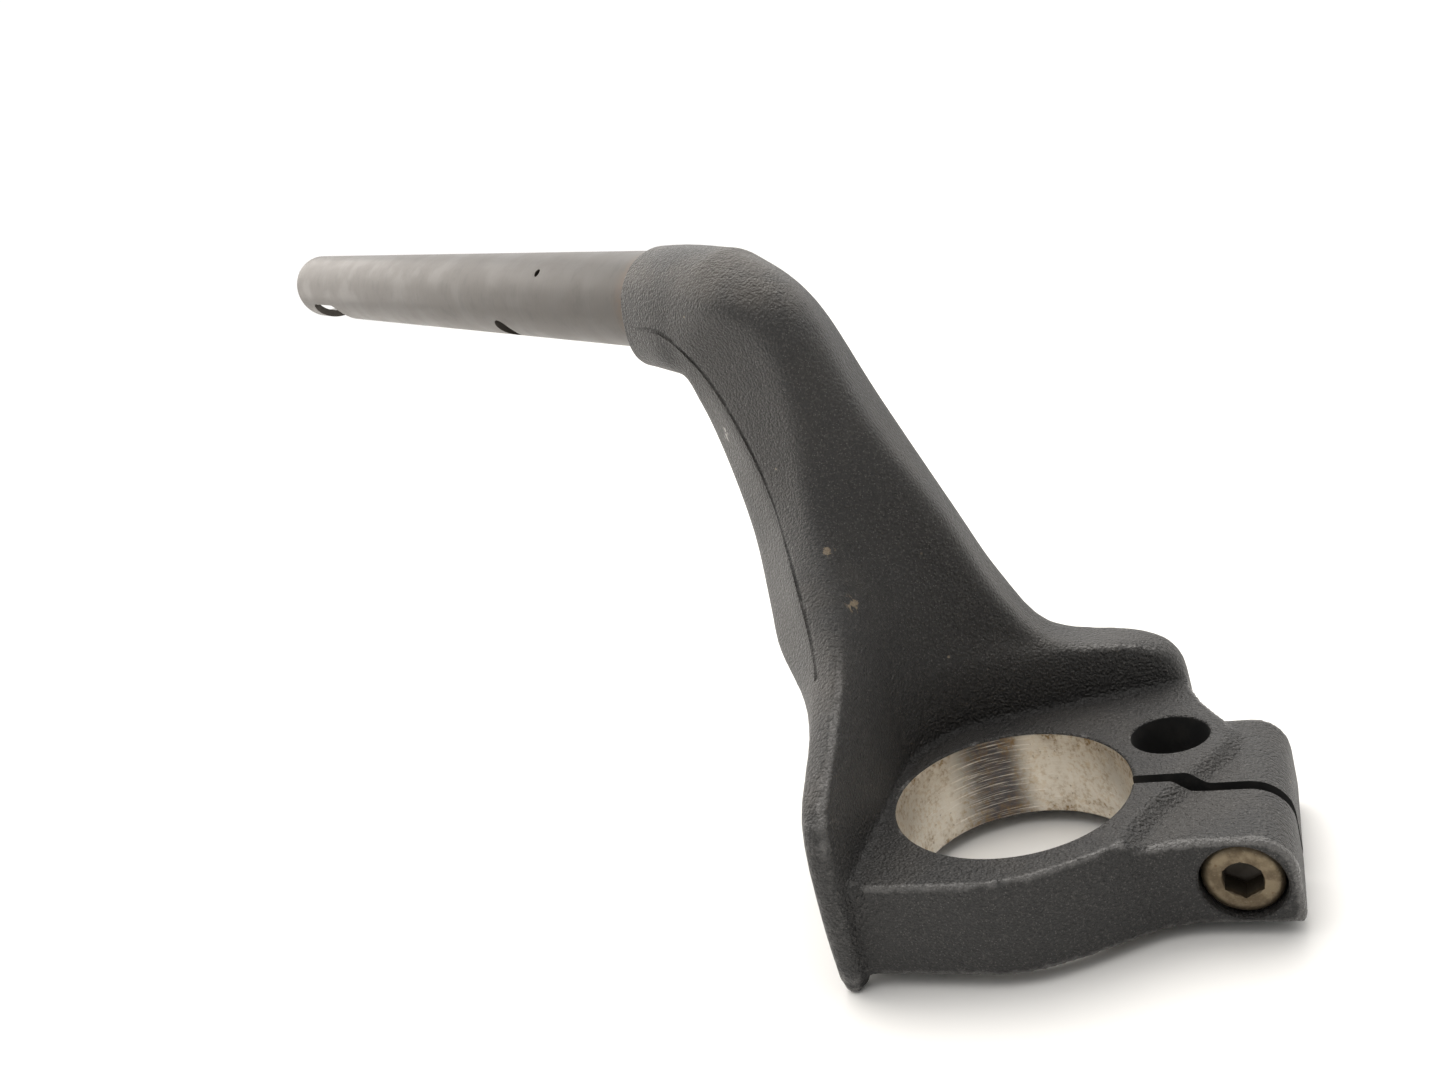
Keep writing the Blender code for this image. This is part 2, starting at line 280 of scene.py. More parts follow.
# %% [markdown]
# A narrow groove runs up the outer side of the arm, where the two halves of the
# mould met and a tool has cleaned the line. A curve follows its course on the skin,
# a round bevel makes it a rod, and the rod is cut away, which leaves half a round.

# %% The mould line's groove
GROOVE_RADIUS = 0.55
GROOVE_COURSE = (
    (-70.9, 45.4, 93.9), (-65.5, 42.3, 93.3), (-61.7, 40.3, 92.1), (-57.2, 37.9, 87.6), (-54.6, 37.6, 83.3),
    (-52.0, 36.6, 78.8), (-50.0, 35.7, 74.3), (-48.1, 34.5, 69.1), (-46.2, 33.3, 64.2), (-44.8, 32.1, 59.0),
    (-43.3, 30.0, 52.8), (-41.0, 24.9, 46.6), (-37.0, 16.3, 41.1), (-33.7, 8.5, 34.9), (-32.2, 3.8, 30.5),
    (-30.6, -1.8, 26.7),
)
rail = bpy.data.curves.new("groove", "CURVE")
rail.dimensions = "3D"
rail.bevel_depth = GROOVE_RADIUS * MM
rail.bevel_resolution = 3
rail.use_fill_caps = True
line = rail.splines.new("NURBS")
line.points.add(len(GROOVE_COURSE) - 1)
for point, place_mm in zip(line.points, GROOVE_COURSE):
    point.co = (*(Vector(place_mm) * MM), 1)
line.use_endpoint_u = True
line.order_u = 4
line.resolution_u = 6
groove_path = bpy.data.objects.new("groove_path", rail)
scene.collection.objects.link(groove_path)
graph = bpy.context.evaluated_depsgraph_get()
bm = bmesh.new()
bm.from_mesh(groove_path.evaluated_get(graph).to_mesh())
bmesh.ops.remove_doubles(bm, verts=bm.verts, dist=0.000001)
groove = to_piece("groove", bm)
bpy.data.objects.remove(groove_path)
print("groove rod:", len(groove.data.polygons), "faces")

# %% [markdown]
# Now the tools. The fork bore and the yoke hole are cut by turned tools whose rim
# flares out a little, which leaves the soft lip that paint has where it meets a
# bore. The saw that opens the clamp is a thin block. The bolt's tool has two steps,
# one for the head and one for the shank, and the socket's tool also trims the mouth.

# %% Machine the arm
def flared(radius, low, high, lip):
    """A profile for a bore whose ends flare out in a quarter circle."""
    angles = [k * math.pi / 8 for k in range(5)]
    arc = [(lip * (1 - math.cos(angle)), lip * math.sin(angle)) for angle in angles]
    bottom = [(radius + out, low + lip - up) for out, up in reversed(arc)]
    top = [(radius + out, high - lip + up) for out, up in arc]
    start = [(0, low - 3), (radius + lip, low - 3)]
    finish = [(radius + lip, high + 3), (0, high + 3)]
    return start + bottom + top + finish


def block(name, low, high):
    """A box between two corners in millimetres."""
    low, high = Vector(low), Vector(high)
    made = bmesh.new()
    bmesh.ops.create_cube(
        made, size=1, matrix=Matrix.Translation((low + high) / 2) @ Matrix.Diagonal((*(high - low), 1))
    )
    bmesh.ops.scale(made, vec=(MM, MM, MM), verts=made.verts)
    return to_piece(name, made)


bolt_face = Vector((BOLT_X, HEAD_FACE_Y, BOLT_Z)) * MM
cut(arm, [
    groove,
    turned("fork_bore", flared(FORK_RADIUS, -CLAMP_HEIGHT, 0, 0.6), (0, 0, 0), (0, 0, 1), 144),
    turned(
        "yoke_hole", flared(YOKE_RADIUS, -CLAMP_HEIGHT, 0, 0.5),
        Vector((YOKE_X, YOKE_Y, 0)) * MM, (0, 0, 1), 72,
    ),
    block("saw", (15, SLIT_Y - SLIT_WIDTH / 2, -30), (60, SLIT_Y + SLIT_WIDTH / 2, 6)),
    turned(
        "bolt_way",
        [
            (0, -10), (SINK_RADIUS + 0.3, -10), (SINK_RADIUS + 0.3, -1.1), (SINK_RADIUS, -0.8),
            (SINK_RADIUS, SINK_DEPTH), (4.5, SINK_DEPTH), (4.5, 50), (0, 50),
        ],
        bolt_face, (0, 1, 0), 72,
    ),
    turned(
        "tube_socket",
        [
            (0, -SOCKET_DEPTH), (TUBE_RADIUS + SOCKET_GAP, -SOCKET_DEPTH), (TUBE_RADIUS + SOCKET_GAP, -0.3),
            (TUBE_RADIUS + 0.5, 0), (32, 0), (32, 20), (0, 20),
        ],
        socket_mouth, tube_axis, 96,
    ),
])

# %% [markdown]
# The bore is bare metal, because it is turned after the casting is painted. Its
# faces get a second material slot: they are the ones whose middle lies on the
# bore's radius. The walls of the yoke hole and the saw cut get a third, painted
# near black with no grain, as painted shade inside these narrow cuts.

# %% Find the bare bore and the cut walls
BARE, CUT_WALL = 1, 2
for face in arm.data.polygons:
    across = math.hypot(face.center.x, face.center.y) / MM
    if abs(across - FORK_RADIUS) < 0.12 and abs(face.normal.z) < 0.3:
        face.material_index = BARE
    elif abs(math.hypot(face.center.x / MM - YOKE_X, face.center.y / MM - YOKE_Y) - YOKE_RADIUS) < 0.06:
        face.material_index = CUT_WALL
    elif face.center.x / MM > SLIT_START and abs(abs(face.center.y / MM - SLIT_Y) - SLIT_WIDTH / 2) < 0.01:
        face.material_index = CUT_WALL
arm.data.shade_smooth()
arm.data.set_sharp_from_angle(angle=math.radians(38))
bare_faces = sum(face.material_index == BARE for face in arm.data.polygons)
print("bare faces:", bare_faces)
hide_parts("arm_casting")
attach(arm, "bar")

# %% [markdown]
# ## The grip tube
# A steel tube, 22.2 mm across, so that any standard grip slides on. It is turned
# from a closed profile with a small chamfer at each end, with a ring every few
# millimetres so that the drilled holes shade cleanly. Three cuts follow: the
# locating hole, the wiring hole, and the slot near the end.

# %% Turn the tube
CHAMFER = 0.4
start = SOCKET_GAP - SOCKET_DEPTH
stops = np.linspace(start + CHAMFER, TUBE_REACH - CHAMFER, 60).tolist()
outer = [(TUBE_RADIUS, z) for z in stops]
inner = [(TUBE_BORE, z) for z in reversed(stops)]
profile = (
    [(TUBE_BORE + CHAMFER, start), (TUBE_RADIUS - CHAMFER, start)] + outer
    + [(TUBE_RADIUS - CHAMFER, TUBE_REACH), (TUBE_BORE + CHAMFER, TUBE_REACH)] + inner
)
tube = turned("grip_tube_steel", profile, socket_mouth, tube_axis, 128, closed=True)
print("tube:", len(tube.data.polygons), "faces")

# %% Drill and slot the tube
def spoke(degrees):
    """A direction across the tube, from its front towards its top."""
    angle = math.radians(degrees)
    return tube_front * math.cos(angle) + tube_rise * math.sin(angle)


def drill(name, along, degrees, radius):
    """A drill for one hole through the wall."""
    at = socket_mouth + tube_axis * along * MM
    return turned(name, [(0, 0), (radius, 0), (radius, 16), (0, 16)], at, spoke(degrees), 48)


def slot_tool(low, high, width, degrees):
    """A block with round corners that cuts the slot in the tube's wall."""
    made = bmesh.new()
    bmesh.ops.create_cube(made, size=1, matrix=Matrix.Diagonal((width, high - low, 16, 1)))
    upright = [edge for edge in made.edges if abs((edge.verts[0].co - edge.verts[1].co).z) > 1]
    bmesh.ops.bevel(
        made, geom=upright, offset=width / 3, affect="EDGES", segments=8, profile=0.5, material=-1
    )
    out = spoke(degrees)
    side = tube_axis.cross(out)
    middle = socket_mouth + (tube_axis * (low + high) / 2 + out * 8) * MM
    turn = Matrix((side, tube_axis, out)).transposed().to_4x4()
    bmesh.ops.transform(
        made, matrix=Matrix.Translation(middle) @ turn @ Matrix.Scale(MM, 4), verts=made.verts
    )
    return to_piece("slot_tool", made)


cut(tube, [
    drill("locating_hole", 45.0, 47, 1.1),
    drill("wiring_hole", 70.5, -44, 4.0),
    slot_tool(199.0, 226.0, 16.0, -66),
])
tube.data.shade_smooth()
tube.data.set_sharp_from_angle(angle=math.radians(28))
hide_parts("grip_tube")
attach(tube, "bar")

# %% [markdown]
# ## The pinch bolt
# An M8 socket-head bolt. The head is turned with a soft shoulder, and a hexagon and
# a drill point are cut into it. The thread is a small tooth spun about the axis
# while it moves one pitch per turn, then trimmed flat and closed at both ends.

# %% Turn the head and the thread
HEAD_RADIUS = 6.5
SHANK = 30.0
PITCH = 1.25
ROOT, CREST = 3.4, 4.0
# a hexagon 6 mm across its flats
HEX_CORNER, HEX_DEPTH = 3.464, 4.5
shoulder = [
    (HEAD_RADIUS - 1.8 + 1.8 * math.sin(k * math.pi / 12), 1.5 - 1.5 * math.cos(k * math.pi / 12))
    for k in range(7)
]
head_profile = [(0, 0.0)] + shoulder + [
    (HEAD_RADIUS, 7.4), (HEAD_RADIUS - 0.5, HEAD_HEIGHT), (0, HEAD_HEIGHT),
]
bolt = turned("pinch_bolt", head_profile, bolt_face, (0, 1, 0), 96)
cut(bolt, [
    turned(
        "hexagon", [(0, -2), (HEX_CORNER, -2), (HEX_CORNER, HEX_DEPTH), (0, HEX_DEPTH)],
        bolt_face, (0, 1, 0), 6,
    ),
    turned(
        "drill_point", [(0, -1), (4.1, -1), (3.1, 0.25), (2.7, 4.4), (0, 5.6)],
        bolt_face, (0, 1, 0), 48,
    ),
])

thread = bmesh.new()
tooth = [(ROOT, 0), (CREST, 0.55), (CREST, 0.7), (ROOT, PITCH)]
points = [thread.verts.new((radius, 0, height)) for radius, height in tooth]
edges = [thread.edges.new(pair) for pair in zip(points, points[1:])]
turns, per_turn = 26, 36
bmesh.ops.spin(
    thread, geom=points + edges, cent=(0, 0, 0), axis=(0, 0, 1), dvec=(0, 0, PITCH / per_turn),
    angle=2 * math.pi * turns, steps=turns * per_turn, use_merge=False,
)
bmesh.ops.remove_doubles(thread, verts=thread.verts, dist=0.002)
# the thread starts a little inside the head
INSIDE = 0.5
for height, side in ((PITCH, -1), (PITCH + SHANK + INSIDE, 1)):
    bmesh.ops.bisect_plane(
        thread, geom=thread.verts[:] + thread.edges[:] + thread.faces[:], dist=0.0001,
        plane_co=(0, 0, height), plane_no=(0, 0, side), clear_outer=True,
    )
    rim = [edge for edge in thread.edges if edge.is_boundary and abs(edge.verts[0].co.z - height) < 0.01]
    bmesh.ops.holes_fill(thread, edges=rim, sides=0)
open_edges = sum(edge.is_boundary for edge in thread.edges)
place(thread, bolt_face + Vector((0, HEAD_HEIGHT - PITCH - INSIDE, 0)) * MM, (0, 1, 0))
shank = to_piece("shank", thread)
print("thread:", len(shank.data.polygons), "faces, open edges:", open_edges)

# %% Join the shank to the head
joined = bmesh.new()
joined.from_mesh(bolt.data)
joined.from_mesh(shank.data)
joined.to_mesh(bolt.data)
joined.free()
bpy.data.objects.remove(shank)
bolt.data.shade_smooth()
bolt.data.set_sharp_from_angle(angle=math.radians(32))
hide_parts("clamp_bolt")
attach(bolt, "bolt")
print("bolt:", len(bolt.data.polygons), "faces")

# %% [markdown]
# ## Finishes
# Each finish is a node tree that works in the object's own metres, so a grain of
# half a millimetre is noise at a scale of 2000. A short helper adds a node and
# joins its inputs in one line, because node code is otherwise long.

# %% Helpers for materials
def node(tree, kind, inputs=None, **settings):
    """Add a node; each input is a plain value or another node's output."""
    made = tree.nodes.new("ShaderNode" + kind)
    for key, value in settings.items():
        setattr(made, key, value)
    for key, value in (inputs or {}).items():
        if isinstance(value, bpy.types.NodeSocket):
            tree.links.new(value, made.inputs[key])
        else:
            made.inputs[key].default_value = value
    return made


def maths(tree, operation, a, b=0.0, clamp=False):
    """One sum, as an output socket."""
    return node(tree, "Math", {0: a, 1: b}, operation=operation, use_clamp=clamp).outputs[0]


def between(tree, value, low, high, out_low=0.0, out_high=1.0):
    """Bring a value from one range to another, smoothly."""
    return node(
        tree, "MapRange",
        {"Value": value, "From Min": low, "From Max": high, "To Min": out_low, "To Max": out_high},
        interpolation_type="SMOOTHSTEP",
    ).outputs["Result"]


def blend(tree, amount, under, over):
    """Mix two colours."""
    made = node(tree, "Mix", {"Factor": amount}, data_type="RGBA")
    for socket, value in ((made.inputs[6], under), (made.inputs[7], over)):
        if isinstance(value, bpy.types.NodeSocket):
            tree.links.new(value, socket)
        else:
            socket.default_value = (*value, 1)
    return made.outputs[2]


def group(name, inputs, outputs):
    """A node group with numbered sockets; inputs are names with their usual values."""
    made = bpy.data.node_groups.new(name, "ShaderNodeTree")
    for key, value in inputs.items():
        kind = "NodeSocketVector" if key in ("Vector", "Centre") else "NodeSocketFloat"
        socket = made.interface.new_socket(key, in_out="INPUT", socket_type=kind)
        if value is not None:
            socket.default_value = value
    for key in outputs:
        made.interface.new_socket(key, in_out="OUTPUT", socket_type="NodeSocketFloat")
    return made, made.nodes.new("NodeGroupInput").outputs, made.nodes.new("NodeGroupOutput").inputs


def use(tree, which, inputs):
    """Place a group in a material with its own values."""
    made = node(tree, "Group", node_tree=which)
    for key, value in inputs.items():
        if isinstance(value, bpy.types.NodeSocket):
            tree.links.new(value, made.inputs[key])
        else:
            made.inputs[key].default_value = value
    return made.outputs

# %% [markdown]
# Five effects are shared. Patches are soft clouds of dirt or dust. Convex edges turn
# the bend kept on the mesh into a ragged mask, used for wear and a painted highlight.
# Scratches are noise drawn out along one direction. Specks are small scattered dots,
# for chips, rust, pits and the painted sparkle. A scuff is one ragged mark round a given point.

# %% Shared effects
patches, given, gives = group("patches", {"Vector": None, "Scale": 60.0, "Amount": 0.5}, ["Mask"])
cloud = node(patches, "TexNoise", {
    "Vector": given["Vector"], "Scale": given["Scale"], "Detail": 5.0, "Roughness": 0.62,
})
low = maths(patches, "SUBTRACT", 0.85, given["Amount"])
spread = node(patches, "MapRange", {
    "Value": cloud.outputs["Fac"], "From Min": low, "From Max": maths(patches, "ADD", low, 0.25),
}, interpolation_type="SMOOTHSTEP")
patches.links.new(spread.outputs["Result"], gives["Mask"])

# a ragged mask of the convex edges, used for real wear and for a painted highlight
convex_edges, given, gives = group("convex_edges", {"Vector": None, "Start": 0.05, "Ragged": 0.1}, ["Mask"])
kept = node(convex_edges, "Attribute", attribute_name="bend")
breakup = node(convex_edges, "TexNoise", {"Vector": given["Vector"], "Scale": 900.0, "Detail": 4.0})
shift = maths(convex_edges, "SUBTRACT", breakup.outputs["Fac"], 0.5)
shift = maths(convex_edges, "MULTIPLY", shift, given["Ragged"])
rough_bend = maths(convex_edges, "ADD", kept.outputs["Fac"], shift)
mask = node(convex_edges, "MapRange", {
    "Value": rough_bend, "From Min": given["Start"],
    "From Max": maths(convex_edges, "MULTIPLY", given["Start"], 2.2),
}, interpolation_type="SMOOTHSTEP")
convex_edges.links.new(mask.outputs["Result"], gives["Mask"])

scratches, given, gives = group("scratches", {"Vector": None, "Scale": 100.0}, ["Height", "Mask"])
lines = node(scratches, "TexNoise", {
    "Vector": given["Vector"], "Scale": given["Scale"], "Detail": 4.0, "Roughness": 0.7,
})
scratches.links.new(lines.outputs["Fac"], gives["Height"])
scratches.links.new(between(scratches, lines.outputs["Fac"], 0.56, 0.70), gives["Mask"])

specks, given, gives = group("specks", {"Vector": None, "Scale": 400.0, "Size": 0.2}, ["Mask"])
dots = node(specks, "TexVoronoi", {"Vector": given["Vector"], "Scale": given["Scale"], "Randomness": 1.0})
near = node(specks, "MapRange", {
    "Value": dots.outputs["Distance"], "From Min": given["Size"],
    "From Max": maths(specks, "MULTIPLY", given["Size"], 0.4),
}, interpolation_type="SMOOTHSTEP")
luck = node(specks, "SeparateColor", {"Color": dots.outputs["Color"]}).outputs[0]
chance = between(specks, luck, 0.80, 0.84)
specks.links.new(maths(specks, "MULTIPLY", near.outputs["Result"], chance), gives["Mask"])

scuff, given, gives = group("scuff", {"Vector": None, "Centre": None, "Radius": 0.002}, ["Mask"])
away = node(scuff, "VectorMath", {0: given["Vector"], 1: given["Centre"]}, operation="DISTANCE")
away = away.outputs["Value"]
fray = node(scuff, "TexNoise", {"Vector": given["Vector"], "Scale": 900.0, "Detail": 3.0}).outputs["Fac"]
frayed = maths(scuff, "MULTIPLY", away, between(scuff, fray, 0.35, 0.65, 2.4, 0.7))
fade = node(scuff, "MapRange", {
    "Value": frayed, "From Min": given["Radius"],
    "From Max": maths(scuff, "MULTIPLY", given["Radius"], 0.5),
}, interpolation_type="SMOOTHSTEP")
scuff.links.new(fade.outputs["Result"], gives["Mask"])
print("groups:", [made.name for made in bpy.data.node_groups])


# %% A material to start from
def finish_for(piece, name):
    """A new material on the piece: its tree, its shader and its object coordinates."""
    made = bpy.data.materials.new(name)
    made.use_nodes = True
    piece.data.materials.append(made)
    tree = made.node_tree
    shader = tree.nodes["Principled BSDF"]
    return tree, shader, node(tree, "TexCoord").outputs["Object"]


def feed(tree, shader, **values):
    """Link sockets of the shader, written with underscores for spaces."""
    for key, value in values.items():
        tree.links.new(value, shader.inputs[key.replace("_", " ")])


def relief(tree, shader, height, distance, strength=1.0):
    """Turn a height into bumps on the shader's normal."""
    bump = node(tree, "Bump", {"Height": height, "Distance": distance, "Strength": strength})
    tree.links.new(bump.outputs["Normal"], shader.inputs["Normal"])

# %% [markdown]
# ### Black powder coat
# Powder is baked on as a fine pebbled skin, with grains about half a millimetre
# across, whose sparkle is painted in as light specks, a painted highlight. Use has
# polished it along the edges, which are also painted lighter as a painted highlight,
# dust lies brown on the parts that face up, and the hollows are painted darker, as
# painted shade, and a little glossier.

# %% Powder coat
TAN, GREY = (0.26, 0.20, 0.13), (0.30, 0.29, 0.27)
SCUFFS = (
    ((-29.8, 19.3, 44.8), 1.4, TAN), ((-25.3, 13.2, 35.1), 1.8, TAN),
    ((-53.6, 39.6, 68.7), 1.2, GREY), ((-54.0, 40.4, 66.8), 1.2, GREY),
)
tree, shader, at = finish_for(arm, "powder_coat_black")
grain = node(tree, "TexNoise", {"Vector": at, "Scale": 2100.0, "Detail": 2.0, "Roughness": 0.5})
pebble = node(tree, "TexVoronoi", {"Vector": at, "Scale": 1700.0}, feature="SMOOTH_F1")
dimples = maths(tree, "MULTIPLY", pebble.outputs["Distance"], 0.6)
height = maths(tree, "SUBTRACT", grain.outputs["Fac"], dimples)
facing = node(tree, "SeparateXYZ", {"Vector": node(tree, "NewGeometry").outputs["Normal"]}).outputs["Z"]
place_z = node(tree, "SeparateXYZ", {"Vector": at}).outputs["Z"]
dust_cloud = use(tree, patches, {"Vector": at, "Scale": 45.0, "Amount": 0.45})["Mask"]
dust = maths(tree, "MULTIPLY", dust_cloud, between(tree, facing, 0.1, 0.95, 0.12, 1.0))
dust = maths(tree, "MULTIPLY", dust, between(tree, place_z, -0.01, 0.08, 0.25, 1.0))
kept_bend = node(tree, "Attribute", attribute_name="bend").outputs["Fac"]
# painted shade: the hollows, where the bend is below 0, are coloured darker
hollow = between(tree, kept_bend, -0.02, -0.12)
# convex edges: real wear and a painted highlight
edge_wear_and_painted_highlight = use(tree, convex_edges, {"Vector": at, "Start": 0.055, "Ragged": 0.09})["Mask"]
tips = between(tree, grain.outputs["Fac"], 0.52, 0.68)
chips = use(tree, specks, {"Vector": at, "Scale": 150.0, "Size": 0.06})["Mask"]
# painted highlight: glints of the grain, painted as light specks in the colour
painted_sparkle = use(tree, specks, {"Vector": at, "Scale": 2900.0, "Size": 0.45})["Mask"]
colour = blend(tree, maths(tree, "MULTIPLY", dust, 0.55), (0.017, 0.0165, 0.016), (0.085, 0.071, 0.056))
colour = blend(tree, maths(tree, "MULTIPLY", tips, 0.6), colour, (0.070, 0.066, 0.062))
# the painted glints of the grain
colour = blend(tree, maths(tree, "MULTIPLY", painted_sparkle, 0.5), colour, (0.16, 0.152, 0.144))
# painted shade in the hollows
colour = blend(tree, maths(tree, "MULTIPLY", hollow, 0.7), colour, (0.008, 0.0075, 0.007))
# the edges are coloured lighter: wear and a painted highlight
colour = blend(tree, maths(tree, "MULTIPLY", edge_wear_and_painted_highlight, 0.6), colour, (0.17, 0.165, 0.16))
colour = blend(tree, maths(tree, "MULTIPLY", chips, 0.8), colour, (0.22, 0.18, 0.13))
for centre, radius, tint in SCUFFS:
    spot = tuple(Vector(centre) * MM)
    mark = use(tree, scuff, {"Vector": at, "Centre": spot, "Radius": radius * MM})["Mask"]
    colour = blend(tree, maths(tree, "MULTIPLY", mark, 0.7), colour, tint)
roughness = between(tree, grain.outputs["Fac"], 0.3, 0.7, 0.42, 0.60)
roughness = maths(tree, "SUBTRACT", roughness, maths(tree, "MULTIPLY", edge_wear_and_painted_highlight, 0.28))
roughness = maths(tree, "SUBTRACT", roughness, maths(tree, "MULTIPLY", hollow, 0.10))
feed(tree, shader, Base_Color=colour, Roughness=roughness)
relief(tree, shader, height, 0.0005)
print("powder coat:", len(tree.nodes), "nodes")

# %% [markdown]
# ### Bare bore
# The bore is turned aluminium that has gripped a steel fork tube for years. Fine
# lines run round it, brown stains creep in from the rims, and dark pits dot it. A
# dark band on one side is a painted reflection.
# The lines follow the bore because the noise reads the angle round the axis and
# the height, not plain X, Y and Z.

# %% Bore metal
tree, shader, at = finish_for(arm, "bored_aluminium")
split = node(tree, "SeparateXYZ", {"Vector": at})
angle = maths(tree, "ARCTAN2", split.outputs["Y"], split.outputs["X"])
round_bore = node(tree, "CombineXYZ", {
    "X": maths(tree, "MULTIPLY", angle, 0.9), "Y": maths(tree, "MULTIPLY", split.outputs["Z"], 1200.0),
}).outputs["Vector"]
turned_lines = use(tree, scratches, {"Vector": round_bore, "Scale": 2.2})
stain = use(tree, patches, {"Vector": at, "Scale": 260.0, "Amount": 0.46})["Mask"]
rim_low = between(tree, split.outputs["Z"], -0.012, -0.0185)
rim_high = between(tree, split.outputs["Z"], -0.006, 0.0)
rims = maths(tree, "MAXIMUM", rim_low, rim_high)
fine_stain = use(tree, patches, {"Vector": at, "Scale": 1100.0, "Amount": 0.42})["Mask"]
near_rims = maths(tree, "ADD", maths(tree, "MULTIPLY", rims, 0.8), 0.35)
broken_up = maths(tree, "ADD", maths(tree, "MULTIPLY", fine_stain, 0.75), 0.3)
stain = maths(tree, "MULTIPLY", stain, near_rims, True)
stain = maths(tree, "MULTIPLY", stain, broken_up, True)
pits = use(tree, specks, {"Vector": at, "Scale": 1300.0, "Size": 0.30})["Mask"]
pits = maths(tree, "MULTIPLY", pits, fine_stain)
# painted reflection: a dark bluish band at a fixed angle round the bore, streaked by the turned lines
painted_dark_reflection = maths(tree, "MULTIPLY", between(tree, angle, 1.55, 1.85), between(tree, angle, 2.50, 2.05))
painted_dark_reflection = maths(tree, "MULTIPLY", painted_dark_reflection, between(tree, turned_lines["Height"], 0.64, 0.50, 0.35, 1.0))
colour = blend(tree, turned_lines["Mask"], (0.76, 0.71, 0.62), (0.95, 0.92, 0.86))
gold_cloud = use(tree, patches, {"Vector": at, "Scale": 120.0, "Amount": 0.55})["Mask"]
gold = maths(tree, "MULTIPLY", fine_stain, gold_cloud)
colour = blend(tree, maths(tree, "MULTIPLY", gold, 0.5), colour, (0.56, 0.41, 0.22))
# the painted dark reflection
colour = blend(tree, maths(tree, "MULTIPLY", painted_dark_reflection, 0.95), colour, (0.045, 0.045, 0.055))
colour = blend(tree, stain, colour, (0.26, 0.165, 0.075))
colour = blend(tree, maths(tree, "MULTIPLY", pits, 0.7), colour, (0.09, 0.06, 0.04))
line_wear = maths(tree, "MULTIPLY", turned_lines["Mask"], 0.1)
feed(
    tree, shader, Base_Color=colour,
    Roughness=maths(tree, "ADD", between(tree, stain, 0, 1, 0.30, 0.60), line_wear),
    Metallic=between(tree, stain, 0.2, 1.0, 0.70, 0.35),
)
pit_depth = maths(tree, "MULTIPLY", pits, 0.5)
relief(tree, shader, maths(tree, "SUBTRACT", turned_lines["Height"], pit_depth), 0.00008)
print("bore metal:", len(tree.nodes), "nodes")

# %% [markdown]
# ### Cut walls
# Inside the yoke hole and the saw cut the walls are painted a plain dull near black,
# as painted shade of these narrow cuts, with a little grey dust.

# %% Cut walls
tree, shader, at = finish_for(arm, "cut_wall_black")
dust = use(tree, patches, {"Vector": at, "Scale": 300.0, "Amount": 0.4})["Mask"]
feed(
    # painted shade: a near black colour for the walls inside the cuts
    tree, shader, Base_Color=blend(tree, dust, (0.006, 0.006, 0.006), (0.018, 0.016, 0.014)),
    Roughness=between(tree, dust, 0, 1, 0.7, 0.9),
)
relief(tree, shader, dust, 0.00003)
print("cut walls:", len(tree.nodes), "nodes")

# %% [markdown]
# ### Tube steel
# The tube is blackened steel. Sliding grips have left it satin, with fine rings
# from turning, cloudy rub marks, and rust brown dirt where it leaves the casting.
# Its pattern needs the distance along the tube, which is a dot product with the
# tube's axis.

# %% Tube finish
tree, shader, at = finish_for(tube, "blackened_steel")
moved = node(tree, "VectorMath", {0: at, 1: tuple(socket_mouth)}, operation="SUBTRACT").outputs[0]
along = node(tree, "VectorMath", {0: moved, 1: tuple(tube_axis)}, operation="DOT_PRODUCT").outputs["Value"]
rings_at = node(tree, "CombineXYZ", {"X": maths(tree, "MULTIPLY", along, 1500.0)}).outputs["Vector"]
across = node(tree, "VectorMath", {0: at, 1: (25.0, 25.0, 25.0)}, operation="MULTIPLY").outputs[0]
rings = use(tree, scratches, {
    "Vector": node(tree, "VectorMath", {0: rings_at, 1: across}, operation="ADD").outputs[0], "Scale": 0.6,
})
clouds = use(tree, patches, {"Vector": at, "Scale": 70.0, "Amount": 0.5})["Mask"]
rub = use(tree, patches, {"Vector": at, "Scale": 220.0, "Amount": 0.38})["Mask"]
seam = between(tree, along, 0.007, 0.0)
seam_dirt = use(tree, patches, {"Vector": at, "Scale": 350.0, "Amount": 0.6})["Mask"]
seam = maths(tree, "MULTIPLY", seam, seam_dirt)
colour = blend(tree, clouds, (0.046, 0.040, 0.034), (0.060, 0.052, 0.044))
colour = blend(tree, maths(tree, "MULTIPLY", rub, 0.6), colour, (0.034, 0.029, 0.024))
colour = blend(tree, maths(tree, "MULTIPLY", rings["Mask"], 0.25), colour, (0.090, 0.080, 0.070))
colour = blend(tree, maths(tree, "MULTIPLY", seam, 0.8), colour, (0.085, 0.048, 0.024))
feed(tree, shader, Base_Color=colour, Roughness=between(tree, clouds, 0, 1, 0.44, 0.50))
shader.inputs["Metallic"].default_value = 0.20
relief(tree, shader, rings["Height"], 0.00002)
print("tube steel:", len(tree.nodes), "nodes")

# %% [markdown]
# ### Bolt steel
# The bolt was plated once. The plating has gone dull and yellow brown, the flat of
# the head shows rubbed lines, and the inside of the hexagon is coloured darker and less metallic.

